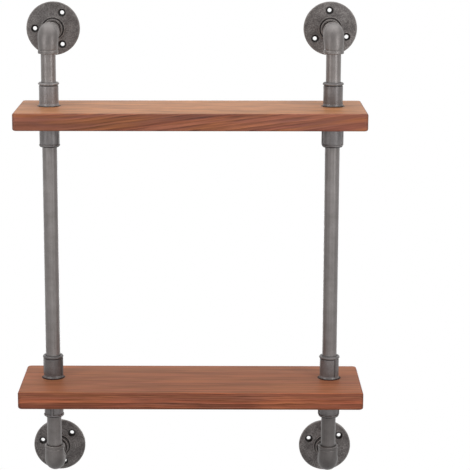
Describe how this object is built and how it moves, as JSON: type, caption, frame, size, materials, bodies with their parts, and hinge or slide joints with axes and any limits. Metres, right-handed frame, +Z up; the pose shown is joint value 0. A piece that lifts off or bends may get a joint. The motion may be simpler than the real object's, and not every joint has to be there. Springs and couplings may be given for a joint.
{
  "type": "pipe shelving unit",
  "caption": "Wall-mounted pipe shelving unit: stained wooden boards clamped between couplings on uprights of threaded pipe, with elbows and nipples back to round wall flanges.",
  "frame": {"origin": "on the wall plane, midway between the uprights and midway between the upper and lower flange centres", "axes": "+X to the right as seen from the room, +Y into the wall, +Z up"},
  "size_m": [0.5, 0.175, 0.722],
  "materials": {
    "pipe_metal": "satin gunmetal paint on smooth drawn pipe",
    "cast_metal": "satin gunmetal paint on a slightly rough cast skin",
    "board_wood": "brown-stained softwood with a low sheen"
  },
  "bodies": {
    "root": {"left_top_wall_nipple": "pipe_metal", "left_top_pipe": "pipe_metal", "left_upper_shelf_nipple": "pipe_metal", "left_middle_pipe": "pipe_metal", "left_lower_shelf_nipple": "pipe_metal", "left_bottom_pipe": "pipe_metal", "left_bottom_wall_nipple": "pipe_metal", "left_top_flange": "cast_metal", "left_top_elbow": "cast_metal", "left_upper_shelf_top_coupling": "cast_metal", "left_upper_shelf_bottom_coupling": "cast_metal", "left_lower_shelf_top_coupling": "cast_metal", "left_lower_shelf_bottom_coupling": "cast_metal", "left_bottom_elbow": "cast_metal", "left_bottom_flange": "cast_metal", "right_top_wall_nipple": "pipe_metal", "right_top_pipe": "pipe_metal", "right_upper_shelf_nipple": "pipe_metal", "right_middle_pipe": "pipe_metal", "right_lower_shelf_nipple": "pipe_metal", "right_bottom_pipe": "pipe_metal", "right_bottom_wall_nipple": "pipe_metal", "right_top_flange": "cast_metal", "right_top_elbow": "cast_metal", "right_upper_shelf_top_coupling": "cast_metal", "right_upper_shelf_bottom_coupling": "cast_metal", "right_lower_shelf_top_coupling": "cast_metal", "right_lower_shelf_bottom_coupling": "cast_metal", "right_bottom_elbow": "cast_metal", "right_bottom_flange": "cast_metal", "upper_shelf_board": "board_wood", "lower_shelf_board": "board_wood"}
  },
  "joints": []
}
